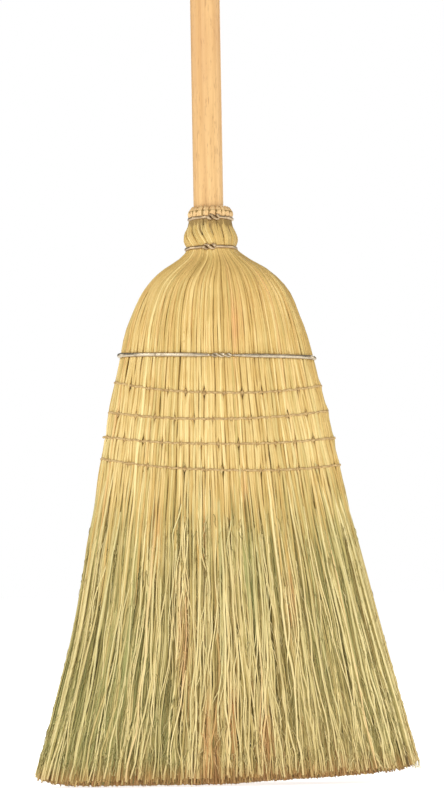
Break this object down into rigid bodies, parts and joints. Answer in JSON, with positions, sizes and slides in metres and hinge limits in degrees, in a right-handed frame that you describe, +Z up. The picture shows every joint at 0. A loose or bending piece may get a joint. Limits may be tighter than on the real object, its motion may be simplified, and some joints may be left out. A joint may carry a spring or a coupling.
{
  "type": "corn broom",
  "caption": "Flat corn broom: a round wooden handle with a flared head of straw, wired at the neck, banded with wire and stitched flat with rows of twine.",
  "frame": {"origin": "middle of the cut straw face, where the broom stands on the floor, on the handle's axis", "axes": "+Z up along the handle, X across the width of the head, -Y towards the front face, where the wires are twisted closed"},
  "size_m": [0.309, 0.0558, 1.4],
  "materials": {
    "beech_handle": "satin",
    "cover_corn": "matte",
    "inner_corn": "matte",
    "tie_wire": "satin",
    "band_wire": "satin",
    "winding_wire": "satin",
    "tack_steel": "satin",
    "stitch_twine": "matte"
  },
  "bodies": {
    "root": {"handle": "beech_handle", "anchor_tack": "tack_steel", "core_corn": "inner_corn", "shoulder_corn_left": "inner_corn", "shoulder_corn_right": "inner_corn", "cover_corn_front": "cover_corn", "cover_corn_back": "cover_corn", "core_winding_wire": "winding_wire", "shoulder_winding_wire": "winding_wire", "neck_wire_upper": "tie_wire", "neck_wire_lower": "tie_wire", "band_wire": "band_wire", "stitch_band_1": "stitch_twine", "lock_stitches_1": "stitch_twine", "stitch_band_2": "stitch_twine", "lock_stitches_2": "stitch_twine", "stitch_band_3": "stitch_twine", "lock_stitches_3": "stitch_twine", "stitch_band_4": "stitch_twine", "lock_stitches_4": "stitch_twine"}
  },
  "joints": []
}
